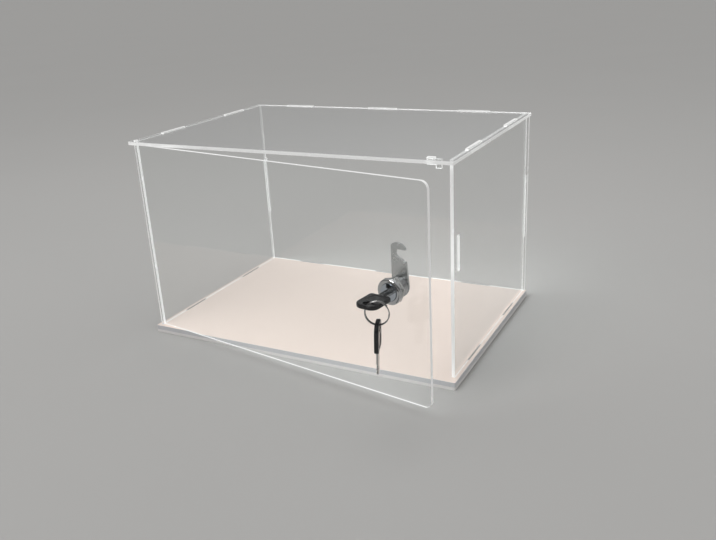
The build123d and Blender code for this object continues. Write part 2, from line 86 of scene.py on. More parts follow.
class Shader:
    """A node material in the making, with its Principled shader."""

    def __init__(self, name: str) -> None:
        """Starts a material.

        Args:
            name: the material's name.
        """
        self.material = bpy.data.materials.new(name)
        self.material.use_nodes = True
        self.tree = self.material.node_tree
        self.tree.nodes.clear()
        self.output = self.tree.nodes.new("ShaderNodeOutputMaterial")
        self.shader = self.tree.nodes.new("ShaderNodeBsdfPrincipled")
        self.tree.links.new(self.shader.outputs[0], self.output.inputs["Surface"])
        self.place = self.tree.nodes.new("ShaderNodeTexCoord").outputs["Object"]

    def set(self, **values: object) -> "Shader":
        """Sets plain inputs of the shader.

        Args:
            values: the inputs by name, with an underscore for a space.

        Returns:
            The same material.
        """
        for name, value in values.items():
            self.shader.inputs[name.replace("_", " ")].default_value = value
        return self

    def node(self, kind: str, **settings: object) -> bpy.types.Node:
        """Adds a node and sets its properties.

        Args:
            kind: the node's type name.
            settings: properties to set on it.

        Returns:
            The new node.
        """
        node = self.tree.nodes.new(kind)
        for name, value in settings.items():
            setattr(node, name, value)
        return node

    def link(self, start: bpy.types.NodeSocket, end: bpy.types.NodeSocket) -> None:
        """Joins an output to an input."""
        self.tree.links.new(start, end)

    def stretched(self, scale: tuple[float, float, float]) -> bpy.types.NodeSocket:
        """Object coordinates scaled by axis.

        Args:
            scale: the factor along each row axis.

        Returns:
            The scaled coordinates.
        """
        mapping = self.node("ShaderNodeMapping")
        mapping.inputs["Scale"].default_value = scale
        self.link(self.place, mapping.inputs["Vector"])
        return mapping.outputs["Vector"]

    def noise(
        self, scale: float, detail: float = 3.0, place: bpy.types.NodeSocket | None = None
    ) -> bpy.types.NodeSocket:
        """A noise pattern on object coordinates.

        Args:
            scale: how fine it is, in cells per metre.
            detail: its octaves.
            place: other coordinates to read.

        Returns:
            The noise value, from 0 to 1.
        """
        noise = self.node("ShaderNodeTexNoise")
        noise.inputs["Scale"].default_value = scale
        noise.inputs["Detail"].default_value = detail
        self.link(place or self.place, noise.inputs["Vector"])
        return noise.outputs["Fac"]

    def spread(
        self, value: bpy.types.NodeSocket, low: float, high: float, start: float = 0.25, end: float = 0.75
    ) -> bpy.types.NodeSocket:
        """Maps a pattern to a range.

        Args:
            value: the pattern.
            low: the result at start and below.
            high: the result at end and above.
            start: the pattern's value for low.
            end: the pattern's value for high.

        Returns:
            The mapped value.
        """
        ramp = self.node("ShaderNodeMapRange")
        ramp.inputs["From Min"].default_value = start
        ramp.inputs["From Max"].default_value = end
        ramp.inputs["To Min"].default_value = low
        ramp.inputs["To Max"].default_value = high
        self.link(value, ramp.inputs["Value"])
        return ramp.outputs["Result"]

    def mixed(self, value: bpy.types.NodeSocket, first: COLOUR, second: COLOUR) -> bpy.types.NodeSocket:
        """Mixes two colours by a pattern.

        Args:
            value: the pattern, from 0 to 1.
            first: the colour at 0.
            second: the colour at 1.

        Returns:
            The mixed colour.
        """
        mix = self.node("ShaderNodeMix", data_type="RGBA")
        for socket, colour in zip(mix.inputs[MIX_COLOURS], (first, second)):
            socket.default_value = (*colour, 1)
        self.link(value, mix.inputs[0])
        return mix.outputs[MIX_RESULT]

    def vary(
        self, pattern: bpy.types.NodeSocket, colours: tuple[COLOUR, COLOUR], roughness: tuple[float, float]
    ) -> "Shader":
        """Lets the base colour and the roughness follow one pattern.

        Args:
            pattern: the pattern, from 0 to 1.
            colours: the colours at its low and high end.
            roughness: the roughness at its low and high end.

        Returns:
            The same material.
        """
        self.link(self.mixed(self.spread(pattern, 0, 1), *colours), self.shader.inputs["Base Color"])
        self.link(self.spread(pattern, *roughness), self.shader.inputs["Roughness"])
        return self

    def bump(self, value: bpy.types.NodeSocket, height: float) -> "Shader":
        """Raises the surface by a pattern.

        Args:
            value: the pattern, from 0 to 1.
            height: its full height in metres.

        Returns:
            The same material.
        """
        bump = self.node("ShaderNodeBump")
        bump.inputs["Distance"].default_value = height
        self.link(value, bump.inputs["Height"])
        self.link(bump.outputs[0], self.shader.inputs["Normal"])
        return self

    def let_lamps_through(self, kept: COLOUR) -> "Shader":
        """Lets a lamp's light pass straight through, tinted.

        Args:
            kept: the share of each colour that it keeps.

        Returns:
            The same material.
        """
        through = self.node("ShaderNodeBsdfTransparent")
        through.inputs["Color"].default_value = (*kept, 1)
        mix = self.node("ShaderNodeMixShader")
        self.link(self.node("ShaderNodeLightPath").outputs["Is Shadow Ray"], mix.inputs[0])
        self.link(self.shader.outputs[0], mix.inputs[1])
        self.link(through.outputs[0], mix.inputs[2])
        self.link(mix.outputs[0], self.output.inputs["Surface"])
        return self


@dataclass(frozen=True)
class ClearAcrylic:
    """The polished face of a clear acrylic sheet, with faint smears of wiping."""

    tint: COLOUR = (0.985, 0.991, 0.99)
    kept: COLOUR = (0.95, 0.96, 0.96)
    index: float = ACRYLIC_INDEX
    roughness: tuple[float, float] = (0.0, 0.06)
    smear_scale: float = 16.0
    smear_detail: float = 5.0
    smear_stretch: tuple[float, float, float] = (1.0, 1.0, 2.4)
    smear_start: float = 0.55
    smear_end: float = 0.85

    def material(self) -> bpy.types.Material:
        """The finished material."""
        made = Shader("clear acrylic").set(
            Base_Color=(*self.tint, 1), IOR=self.index, Transmission_Weight=1.0
        )
        smear = made.noise(self.smear_scale, self.smear_detail, made.stretched(self.smear_stretch))
        rough = made.spread(smear, *self.roughness, self.smear_start, self.smear_end)
        made.link(rough, made.shader.inputs["Roughness"])
        return made.let_lamps_through(self.kept).material


@dataclass(frozen=True)
class CutEdge:
    """The laser-cut edge of a clear sheet; its near-white colour and faint emitted glow are painted light,
    standing in for the light the edge gathers through the sheet.
    """

    # Near-white colour: painted brightness, as if the edge were lit by light gathered through the sheet
    colour: COLOUR = (0.97, 0.97, 0.96)
    shaded: COLOUR = (0.93, 0.935, 0.93)
    kept: COLOUR = (0.85, 0.87, 0.87)
    index: float = ACRYLIC_INDEX
    clearness: float = 0.12
    painted_glow: float = 0.15
    roughness: tuple[float, float] = (0.12, 0.32)
    patch_scale: float = 60.0
    patch_detail: float = 4.0
    stria_scale: float = 1400.0
    stria_detail: float = 2.0
    stria_height: float = 0.00002

    def material(self) -> bpy.types.Material:
        """The finished material."""
        made = Shader("cut acrylic edge").set(IOR=self.index, Transmission_Weight=self.clearness)
        # Painted glow: the edge emits light of its own colour though it is no lamp
        made.set(Emission_Color=(*self.colour, 1), Emission_Strength=self.painted_glow)
        patches = made.noise(self.patch_scale, self.patch_detail)
        made.vary(patches, (self.colour, self.shaded), self.roughness)
        made.bump(made.noise(self.stria_scale, self.stria_detail), self.stria_height)
        return made.let_lamps_through(self.kept).material


@dataclass(frozen=True)
class WhiteAcrylic:
    """Glossy white acrylic of the base, with faint dust."""

    colour: COLOUR = (0.865, 0.745, 0.675)
    dusty: COLOUR = (0.85, 0.732, 0.663)
    roughness: tuple[float, float] = (0.16, 0.22)
    dust_scale: float = 11.0
    dust_detail: float = 2.0
    ripple_scale: float = 240.0
    ripple_detail: float = 1.0
    ripple_height: float = 0.000006

    def material(self) -> bpy.types.Material:
        """The finished material."""
        made = Shader("white acrylic").set(IOR=ACRYLIC_INDEX)
        dust = made.noise(self.dust_scale, self.dust_detail)
        made.vary(dust, (self.colour, self.dusty), self.roughness)
        ripple = made.noise(self.ripple_scale, self.ripple_detail)
        return made.bump(ripple, self.ripple_height).material


@dataclass(frozen=True)
class WhiteEdge:
    """The cut edge of a white base sheet, duller than its faces, in a darker, cooler colour that is painted
    shade.
    """

    name: str
    colour: COLOUR
    shaded: COLOUR
    roughness: tuple[float, float] = (0.3, 0.45)
    patch_scale: float = 40.0
    patch_detail: float = 4.0
    stria_scale: float = 1100.0
    stria_detail: float = 2.0
    stria_height: float = 0.00002

    def material(self) -> bpy.types.Material:
        """The finished material."""
        made = Shader(self.name).set(IOR=ACRYLIC_INDEX)
        patches = made.noise(self.patch_scale, self.patch_detail)
        made.vary(patches, (self.colour, self.shaded), self.roughness)
        return made.bump(made.noise(self.stria_scale, self.stria_detail), self.stria_height).material


@dataclass(frozen=True)
class Metal:
    """A bare or plated metal with patches of wear and a fine grain."""

    name: str
    colour: COLOUR
    worn: COLOUR
    roughness: tuple[float, float]
    grain: tuple[float, float, float] = (3000.0, 3000.0, 3000.0)
    grain_height: float = 0.0000003
    patch_scale: float = 180.0
    patch_detail: float = 2.0
    grain_detail: float = 1.0

    def material(self) -> bpy.types.Material:
        """The finished material."""
        made = Shader(self.name).set(Metallic=1.0)
        patches = made.noise(self.patch_scale, self.patch_detail)
        made.vary(patches, (self.colour, self.worn), self.roughness)
        grain = made.noise(1.0, self.grain_detail, made.stretched(self.grain))
        return made.bump(grain, self.grain_height).material


@dataclass(frozen=True)
class BlackPlastic:
    """Black moulded plastic of the keys' heads."""

    colour: COLOUR = (0.006, 0.006, 0.007)
    scuffed: COLOUR = (0.012, 0.012, 0.013)
    roughness: tuple[float, float] = (0.16, 0.28)
    index: float = 1.53
    patch_scale: float = 320.0
    patch_detail: float = 5.0
    grain_scale: float = 2600.0
    grain_detail: float = 2.0
    grain_height: float = 0.000004

    def material(self) -> bpy.types.Material:
        """The finished material."""
        made = Shader("black plastic").set(IOR=self.index)
        patches = made.noise(self.patch_scale, self.patch_detail)
        made.vary(patches, (self.colour, self.scuffed), self.roughness)
        grain = made.noise(self.grain_scale, self.grain_detail)
        return made.bump(grain, self.grain_height).material


# Both edge colours are painted shade, darker and cooler than the white faces; the deck's edge has the darkest
# painted shade
BOTTOM_EDGE = WhiteEdge("bottom sheet edge", (0.72, 0.70, 0.69), (0.69, 0.67, 0.66))
DECK_EDGE = WhiteEdge("deck edge", (0.55, 0.55, 0.565), (0.52, 0.52, 0.535))
CHROME = Metal("chrome", (0.60, 0.605, 0.61), (0.57, 0.575, 0.58), (0.03, 0.07))
# The plug's blue tint is a painted reflection of a blue-grey panel in front of the lock
PLUG_CHROME = Metal("plug chrome", (0.54, 0.58, 0.63), (0.50, 0.54, 0.59), (0.05, 0.1))
ZINC = Metal("bright zinc", (0.60, 0.60, 0.585), (0.55, 0.55, 0.535), (0.18, 0.26))
CAM_STEEL = Metal(
    "cam steel", (0.66, 0.67, 0.665), (0.63, 0.64, 0.635), (0.25, 0.28), (2600.0, 2600.0, 120.0), 0.00000015
)
SCREW_STEEL = Metal("screw steel", (0.66, 0.65, 0.62), (0.60, 0.59, 0.565), (0.2, 0.28))
BRASS = Metal("wafer brass", (0.80, 0.62, 0.33), (0.74, 0.56, 0.29), (0.2, 0.28))
SPRING_STEEL = Metal("spring steel", (0.60, 0.60, 0.61), (0.54, 0.54, 0.55), (0.2, 0.26))
KEY_STEEL = Metal("key steel", (0.52, 0.51, 0.49), (0.48, 0.47, 0.455), (0.14, 0.22))
# The ring's steel is darker than bright steel: a painted dark reflection of its surroundings
RING_STEEL = Metal("ring steel", (0.42, 0.41, 0.405), (0.36, 0.355, 0.35), (0.12, 0.2))


# Meshes and pieces


def add_piece(name: str, mesh: bpy.types.Mesh, body: str, slot: str, *nodes: str) -> None:
    """Puts a finished mesh in the scene as a piece.

    Args:
        name: the piece's name.
        mesh: its mesh, in the row frame.
        body: the body that it rides on.
        slot: the record's material slot; not used.
        nodes: the CAD nodes that it stands for.
    """
    made = bpy.data.objects.new(name, mesh)
    bpy.context.scene.collection.objects.link(made)
    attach(made, body)
    if nodes:
        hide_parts(*nodes)
    LOG.info("%s: %d faces, on %s", name, len(mesh.polygons), body)


def joined_copy(node: bpy.types.Object, merge: float = 2e-6, flatness: float = 0.5) -> bmesh.types.BMesh:
    """A CAD node's shape as one joined mesh with whole flat faces.

    Args:
        node: the CAD node.
        merge: how near two corners lie to be one, in metres.
        flatness: how flat two faces meet to be one, in degrees.

    Returns:
        The joined mesh.
    """
    shape = bmesh.new()
    shape.from_mesh(node.data)
    bmesh.ops.remove_doubles(shape, verts=shape.verts, dist=merge)
    bmesh.ops.dissolve_limit(
        shape, angle_limit=math.radians(flatness), verts=shape.verts, edges=shape.edges
    )
    shape.normal_update()
    return shape


def draw_in(shape: bmesh.types.BMesh, gap: float, places: int = 1) -> None:
    """Moves every flat face inwards a little, so that sheets that touch share no surface.

    Args:
        shape: the mesh to change.
        gap: how far each face moves, in metres.
        places: the decimal places to which faces that look the same way agree.
    """
    moves = {}
    for vert in shape.verts:
        ways = {tuple(round(x, places) for x in face.normal): face.normal.copy() for face in vert.link_faces}
        moves[vert] = sum(ways.values(), Vector())
    for vert, move in moves.items():
        vert.co -= gap * move


def rounded(
    name: str,
    shape: bmesh.types.BMesh,
    materials: Sequence[bpy.types.Material],
    width: float,
    edge_slot: int = NO_SLOT,
    flat_slot: int = NO_SLOT,
    steps: int = 2,
    sharp: float = 35.0,
) -> bpy.types.Mesh:
    """Rounds a shape's sharp edges and shades its flat faces flat.

    Args:
        name: the mesh's name.
        shape: the shape, which is used up.
        materials: its materials, in slot order.
        width: how wide the rounding is, in metres.
        edge_slot: the material slot of the rounding, or NO_SLOT for the faces' own.
        flat_slot: the material slot whose faces stay exactly flat in the shading, or NO_SLOT.
        steps: how many steps the rounding has.
        sharp: the least angle of an edge that is rounded, in degrees.

    Returns:
        The finished mesh.
    """
    mesh = bpy.data.meshes.new(name)
    shape.to_mesh(mesh)
    shape.free()
    for material in materials:
        mesh.materials.append(material)
    for part in mesh.polygons:
        part.use_smooth = part.material_index != flat_slot
    holder = bpy.data.objects.new(name, mesh)
    bpy.context.scene.collection.objects.link(holder)
    bevel = holder.modifiers.new("round", "BEVEL")
    bevel.width = width
    bevel.segments = steps
    bevel.limit_method = "ANGLE"
    bevel.angle_limit = math.radians(sharp)
    bevel.material = edge_slot
    normals = holder.modifiers.new("flat faces", "WEIGHTED_NORMAL")
    normals.keep_sharp = True
    made = evaluated(holder)
    made.name = name
    return made


def evaluated(holder: bpy.types.Object) -> bpy.types.Mesh:
    """The plain mesh that an object's modifiers make; the object is removed."""
    bpy.context.view_layer.update()
    shown = holder.evaluated_get(bpy.context.evaluated_depsgraph_get())
    made = bpy.data.meshes.new_from_object(shown)
    bpy.data.objects.remove(holder)
    return made


def swept(
    shape: bmesh.types.BMesh,
    section: Callable[[float], Sequence[Vector]],
    turns: Sequence[float],
    closed: bool,
) -> None:
    """Adds a body whose section turns about an axis.

    Args:
        shape: the mesh to add to.
        section: gives the section's loop of points at a turn.
        turns: the turns at which it is drawn, in radians.
        closed: whether the last section joins the first; otherwise both ends are capped.
    """
    loops = [[shape.verts.new(point) for point in section(turn)] for turn in turns]
    count = len(loops[0])
    for i in range(len(loops) if closed else len(loops) - 1):
        one, two = loops[i], loops[(i + 1) % len(loops)]
        for j in range(count):
            k = (j + 1) % count
            shape.faces.new((one[j], one[k], two[k], two[j]))
    if not closed:
        shape.faces.new(loops[0])
        shape.faces.new(list(reversed(loops[-1])))


# Geometry nodes


class Grower:
    """A geometry node tree in the making, with named inputs for its sizes."""

    def __init__(self, name: str) -> None:
        """Starts a tree.

        Args:
            name: the tree's name.
        """
        self.tree = bpy.data.node_groups.new(name, "GeometryNodeTree")
        self.tree.interface.new_socket("Geometry", in_out="OUTPUT", socket_type="NodeSocketGeometry")
        self.source = self.tree.nodes.new("NodeGroupInput")
        self.result = self.tree.nodes.new("NodeGroupOutput")
        self.values: dict[str, float] = {}

    def size(self, name: str, value: float) -> bpy.types.NodeSocket:
        """Adds a named number.

        Args:
            name: its name.
            value: its value.

        Returns:
            The socket that gives it.
        """
        kind = "NodeSocketInt" if isinstance(value, int) else "NodeSocketFloat"
        self.tree.interface.new_socket(name, in_out="INPUT", socket_type=kind)
        self.values[name] = value
        return self.source.outputs[name]

    def node(self, kind: str, sockets: dict[str, object] | None = None, **settings: object) -> bpy.types.Node:
        """Adds a node, sets its properties and feeds its inputs.

        Args:
            kind: the node's type name without its prefix.
            sockets: values or outputs for its inputs, by name.
            settings: properties to set on it.

        Returns:
            The new node.
        """
        prefix = "ShaderNode" if kind in ("Math", "CombineXYZ") else "GeometryNode"
        node = self.tree.nodes.new(prefix + kind)
        for name, value in settings.items():
            setattr(node, name, value)
        for name, value in (sockets or {}).items():
            self.feed(node.inputs[name], value)
        return node

    def feed(self, socket: bpy.types.NodeSocket, value: object) -> None:
        """Links an output to an input, or sets the input's value."""
        if isinstance(value, bpy.types.NodeSocket):
            self.tree.links.new(value, socket)
        else:
            socket.default_value = value

    def math(self, operation: str, *values: object) -> bpy.types.NodeSocket:
        """Works out a number.

        Args:
            operation: the operation's name.
            values: numbers or outputs.

        Returns:
            The result.
        """
        node = self.node("Math", operation=operation)
        for socket, value in zip(node.inputs, values):
            self.feed(socket, value)
        return node.outputs[0]

    def point(self, x: object, y: object, z: object) -> bpy.types.NodeSocket:
        """A vector of three numbers or outputs."""
        return self.node("CombineXYZ", {"X": x, "Y": y, "Z": z}).outputs[0]

    def grow(
        self, geometry: bpy.types.NodeSocket, material: bpy.types.Material, place: Matrix
    ) -> bpy.types.Mesh:
        """Ends the tree, runs it and returns its plain mesh.

        Args:
            geometry: what the tree makes.
            material: its finish.
            place: where the mesh goes.

        Returns:
            The mesh in the row frame.
        """
        real = self.node("RealizeInstances", {"Geometry": geometry})
        dressed = self.node("SetMaterial", {"Geometry": real.outputs[0], "Material": material})
        self.tree.links.new(dressed.outputs[0], self.result.inputs[0])
        holder = bpy.data.objects.new(self.tree.name, bpy.data.meshes.new(self.tree.name))
        bpy.context.scene.collection.objects.link(holder)
        modifier = holder.modifiers.new("grow", "NODES")
        modifier.node_group = self.tree
        for item in self.tree.interface.items_tree:
            if item.in_out == "INPUT":
                modifier[item.identifier] = self.values[item.name]
        mesh = evaluated(holder)
        mesh.transform(place)
        return mesh


def tidy(mesh: bpy.types.Mesh, sharp: float, merge: float = 1e-6) -> bpy.types.Mesh:
    """Welds a grown mesh, turns its faces outwards and marks its sharp edges.

    Args:
        mesh: the mesh to change.
        sharp: the least angle of a sharp edge, in degrees.
        merge: how near two corners lie to be one, in metres.

    Returns:
        The same mesh.
    """
    shape = bmesh.new()
    shape.from_mesh(mesh)
    bmesh.ops.remove_doubles(shape, verts=shape.verts, dist=merge)
    bmesh.ops.recalc_face_normals(shape, faces=shape.faces)
    shape.to_mesh(mesh)
    shape.free()
    mesh.shade_smooth()
    mesh.set_sharp_from_angle(angle=math.radians(sharp))
    return mesh


def coil(
    name: str,
    material: bpy.types.Material,
    place: Matrix,
    radius: float,
    pitch: float,
    turns: float,
    wire: float,
    steps: int,
    sides: int,
    sharp: float = 50.0,
) -> bpy.types.Mesh:
    """A wire wound in a right-handed helix about Z, centred on the origin.

    Args:
        name: the tree's name.
        material: its finish.
        place: where it goes.
        radius: the helix's radius.
        pitch: its rise in a turn.
        turns: how many turns it has.
        wire: the wire's radius.
        steps: how many straight runs make a turn.
        sides: how many sides the wire has.
        sharp: the least angle of a sharp edge, in degrees.

    Returns:
        The mesh in the row frame.
    """
    tree = Grower(name)
    turns_in = tree.size("Turns", float(turns))
    radius_in = tree.size("Coil Radius", float(radius))
    rise = tree.math("MULTIPLY", turns_in, tree.size("Pitch", float(pitch)))
    spiral = tree.node(
        "CurveSpiral",
        {
            "Resolution": tree.size("Steps", steps),
            "Rotations": turns_in,
            "Start Radius": radius_in,
            "End Radius": radius_in,
            "Height": rise,
            "Reverse": True,
        },
    )
    section = tree.node(
        "CurvePrimitiveCircle",
        {"Resolution": tree.size("Sides", sides), "Radius": tree.size("Wire Radius", float(wire))},
    )
    wound = tree.node(
        "CurveToMesh",
        {"Curve": spiral.outputs[0], "Profile Curve": section.outputs[0], "Fill Caps": True},
    )
    half = tree.math("MULTIPLY", rise, -0.5)
    centred = tree.node(
        "Transform", {"Geometry": wound.outputs[0], "Translation": tree.point(0.0, 0.0, half)}
    )
    return tidy(tree.grow(centred.outputs[0], material, place), sharp)


# The case


@dataclass
class SheetWork:
    """How a flat sheet is dressed: fine arrises, faces in one finish and cut edges in another."""

    nodes: dict[str, bpy.types.Object]
    arris: float
    gap: float = 0.01 * MM
    square_on: float = 0.9

    def mesh(self, node: str, way: Vector, materials: Sequence[bpy.types.Material]) -> bpy.types.Mesh:
        """A dressed sheet.

        Args:
            node: the CAD node.
            way: the direction of its thickness.
            materials: the finish of its faces and of its edges.

        Returns:
            The finished mesh.
        """
        shape = joined_copy(self.nodes[node])
        for part in shape.faces:
            faces_out = abs(part.normal.dot(way)) > self.square_on
            part.material_index = FACE_SLOT if faces_out else EDGE_SLOT
        draw_in(shape, self.gap)
        return rounded(node + "_sheet", shape, materials, self.arris, EDGE_SLOT, FACE_SLOT)


@dataclass
class ClearCase:
    """The glued case: three clear walls, the top panel and the door stop."""

    nodes: dict[str, bpy.types.Object]
    face: bpy.types.Material
    edge: bpy.types.Material
    arris: float = 0.14 * MM

    def build(self) -> None:
        """Makes the walls, the panel and the stop."""
        work = SheetWork(self.nodes, self.arris)
        ways = {
            "left_wall": Sheet.SIDE,
            "right_wall": Sheet.SIDE,
            "back_wall": Sheet.FRONT,
            "top_panel": Sheet.LEVEL,
            "door_stop": Sheet.FRONT,
        }
        for node, way in ways.items():
            mesh = work.mesh(node, Vector(way.value), (self.face, self.edge))
            add_piece(node + "_sheet", mesh, "case", "clear_sheet", node)


@dataclass
class WhiteBase:
    """The two white sheets of the base."""

    nodes: dict[str, bpy.types.Object]
    face: bpy.types.Material
    bottom_edge: bpy.types.Material
    deck_edge: bpy.types.Material
    arris: float = 0.25 * MM

    def build(self) -> None:
        """Makes the bottom sheet and the deck."""
        work = SheetWork(self.nodes, self.arris)
        for node, edge in (("base_bottom", self.bottom_edge), ("base_deck", self.deck_edge)):
            mesh = work.mesh(node, Vector(Sheet.LEVEL.value), (self.face, edge))
            add_piece(node + "_sheet", mesh, "case", "white_sheet", node)


@dataclass
class ClearDoor:
    """The clear door leaf with its two pivot tabs."""

    nodes: dict[str, bpy.types.Object]
    way: Vector
    face: bpy.types.Material
    edge: bpy.types.Material
    arris: float = 0.14 * MM

    def build(self) -> None:
        """Makes the door leaf."""
        mesh = SheetWork(self.nodes, self.arris).mesh("door_panel", self.way, (self.face, self.edge))
        add_piece("door_leaf", mesh, "door", "clear_door", "door_panel")


# The lock and the keys


@dataclass
class Housing:
    """The chromed lock body: half-round bezel rim, threaded barrel with two flats, bore and stop lip."""

    place: Matrix
    material: bpy.types.Material
    bezel_radius: float = 11.0
    ridge_radius: float = 9.3
    bezel_front: float = -4.6
    inner_drop: float = 0.55
    outer_drop: float = 1.5
    door_front: float = -1.5
    recess_radius: float = 7.25
    recess_floor: float = -3.35
    bore_radius: float = 5.55
    crest_radius: float = 8.98
    root_radius: float = 8.5
    thread_start: float = -0.9
    thread_end: float = 11.9
    thread_pitch: float = 1.25
    thread_samples: int = 6
    crest_share: float = 0.1
    root_share: float = 0.5
    rear: float = 12.3
    half_flat: float = 8.0
    lip_inner: float = 7.3
    lip_outer: float = 8.9
    lip_rear: float = 13.2
    lip_start: float = 201.0
    lip_end: float = 429.0
    relief: float = 0.15
    dome_steps: int = 8
    steps: int = 120
    sharp: float = 38.0

    def flatted(self, turn: float, radius: float, depth: float) -> Vector:
        """A point of the barrel at a turn, held within its flats."""
        side, height = radius * math.cos(turn), radius * math.sin(turn)
        return Vector((side, depth, max(-self.half_flat, min(self.half_flat, height))))

    def thread(self, turn: float) -> list[Vector]:
        """The thread's outline along the barrel at a turn.

        Args:
            turn: the turn, in radians.

        Returns:
            Its points from the door to the rear.
        """
        count = round((self.thread_end - self.thread_start) / self.thread_pitch * self.thread_samples)
        points = []
        for i in range(count + 1):
            depth = self.thread_start + (self.thread_end - self.thread_start) * i / count
            phase = ((depth - self.thread_start) / self.thread_pitch - turn / FULL_TURN) % 1.0
            rise = (self.root_share - abs(2 * phase - 1)) / (self.root_share - self.crest_share)
            share = min(1.0, max(0.0, rise))
            run_out = min(1.0, i / self.thread_samples, (count - i) / self.thread_samples)
            radius = self.root_radius + (self.crest_radius - self.root_radius) * share * run_out
            points.append(self.flatted(turn, radius, depth))
        return points

    def section(self, turn: float) -> list[Vector]:
        """The body's whole section at a turn.

        Args:
            turn: the turn, in radians.

        Returns:
            The section's points, once round.
        """
        def at(radius: float, depth: float) -> Vector:
            """A point of a round part of the body."""
            return Vector((radius * math.cos(turn), depth, radius * math.sin(turn)))

        dome = []
        for i in range(-self.dome_steps, self.dome_steps + 1):
            angle = QUARTER_TURN * i / self.dome_steps
            edge = self.bezel_radius if i > 0 else self.recess_radius
            drop = self.outer_drop if i > 0 else self.inner_drop
            radius = self.ridge_radius + abs(math.sin(angle)) * (edge - self.ridge_radius)
            dome.append(at(radius, self.bezel_front + drop * (1 - math.cos(angle))))
        front = [
            at(self.bore_radius, self.rear),
            at(self.bore_radius, self.recess_floor),
            at(self.recess_radius, self.recess_floor),
        ]
        rim = [
            at(self.bezel_radius, self.door_front - self.relief),
            at(self.bezel_radius - self.relief, self.door_front),
            self.flatted(turn, self.root_radius, self.door_front),
        ]
        end = [self.flatted(turn, self.root_radius - self.relief, self.rear)]
        return front + dome + rim + self.thread(turn) + end

    def lip_section(self, turn: float) -> list[Vector]:
        """The section of the lip that stops the plug's turn."""
        inner, outer = self.lip_inner, self.lip_outer
        corners = ((inner, self.rear), (inner, self.lip_rear), (outer, self.lip_rear), (outer, self.rear))
        return [self.flatted(turn, radius, depth) for radius, depth in corners]

    def build(self) -> None:
        """Makes the housing."""
        shape = bmesh.new()
        turns = [FULL_TURN * i / self.steps for i in range(self.steps)]
        swept(shape, self.section, turns, True)
        lip_steps = self.steps // 2
        start, end = math.radians(self.lip_start), math.radians(self.lip_end)
        turns = [start + (end - start) * i / lip_steps for i in range(lip_steps + 1)]
        swept(shape, self.lip_section, turns, False)
        bmesh.ops.transform(shape, matrix=self.place, verts=shape.verts)
        mesh = bpy.data.meshes.new("lock_body")
        shape.to_mesh(mesh)
        shape.free()
        mesh.materials.append(self.material)
        add_piece("lock_body", tidy(mesh, self.sharp), "door", "lock_chrome", "lock_housing")


@dataclass
class ToothedWasher:
    """The toothed lock washer between the door and the nut."""

    place: Matrix
    material: bpy.types.Material
    inner_radius: float = 9.05
    ring_radius: float = 9.5
    tooth_radius: float = 10.2
    front: float = 1.5
    thickness: float = 0.4
    teeth: int = 14
    tooth_width: float = 1.5
    tooth_twist: float = 12.0
    ring_steps: int = 84
    sharp: float = 30.0

    def build(self) -> None:
        """Makes the washer."""
        tree = Grower("toothed washer")
        inner = tree.size("Inner Radius", self.inner_radius)
        outer = tree.size("Ring Radius", self.ring_radius)
        thick = tree.size("Thickness", self.thickness)
        middle = tree.math("MULTIPLY", tree.math("ADD", inner, outer), 0.5)
        width = tree.math("SUBTRACT", outer, inner)
        rail = tree.node(
            "CurvePrimitiveCircle", {"Resolution": tree.size("Ring Steps", self.ring_steps), "Radius": middle}
        )
        profile = tree.node("CurvePrimitiveQuadrilateral", {"Width": width, "Height": thick})
        ring = tree.node("CurveToMesh", {"Curve": rail.outputs[0], "Profile Curve": profile.outputs[0]})
        reach = tree.size("Tooth Radius", self.tooth_radius)
        tooth_length = tree.math("SUBTRACT", reach, inner)
        tooth = tree.node(
            "MeshCube",
            {"Size": tree.point(tooth_length, tree.size("Tooth Width", self.tooth_width), thick)},
        )
        seats = tree.node(
            "MeshCircle",
            {
                "Vertices": tree.size("Teeth", self.teeth),
                "Radius": tree.math("MULTIPLY", tree.math("ADD", inner, reach), 0.5),
            },
        )
        angle = tree.math("DIVIDE", FULL_TURN, tree.source.outputs["Teeth"])
        turn = tree.math("MULTIPLY", angle, tree.node("InputIndex").outputs[0])
        twist = tree.math("RADIANS", tree.size("Tooth Twist", self.tooth_twist))
        placed = tree.node(
            "InstanceOnPoints",
            {
                "Points": seats.outputs[0],
                "Instance": tooth.outputs[0],
                "Rotation": tree.point(twist, 0.0, turn),
            },
        )
        joined = tree.node("JoinGeometry")
        for part in (ring, placed):
            tree.feed(joined.inputs[0], part.outputs[0])
        middle_place = Matrix.Translation((0, self.front + self.thickness / 2, 0))
        stand = middle_place @ Matrix.Rotation(QUARTER_TURN, 4, "X")
        mesh = tree.grow(joined.outputs[0], self.material, self.place @ stand)
        add_piece("toothed_washer", tidy(mesh, self.sharp), "door", "lock_steel", "lock_washer")


@dataclass(frozen=True)
class Trim:
    """How one CAD node of the lock or the keys is dressed."""

    node: str
    body: str
    slot: str
    material: bpy.types.Material
    width: float
    flatness: float = 0.2

    def build(self, nodes: dict[str, bpy.types.Object]) -> None:
        """Makes the piece with its rounded edges.

        Args:
            nodes: the CAD nodes by name.
        """
        shape = joined_copy(nodes[self.node], flatness=self.flatness)
        mesh = rounded(self.node + "_piece", shape, (self.material,), self.width)
        add_piece(self.node + "_piece", mesh, self.body, self.slot, self.node)


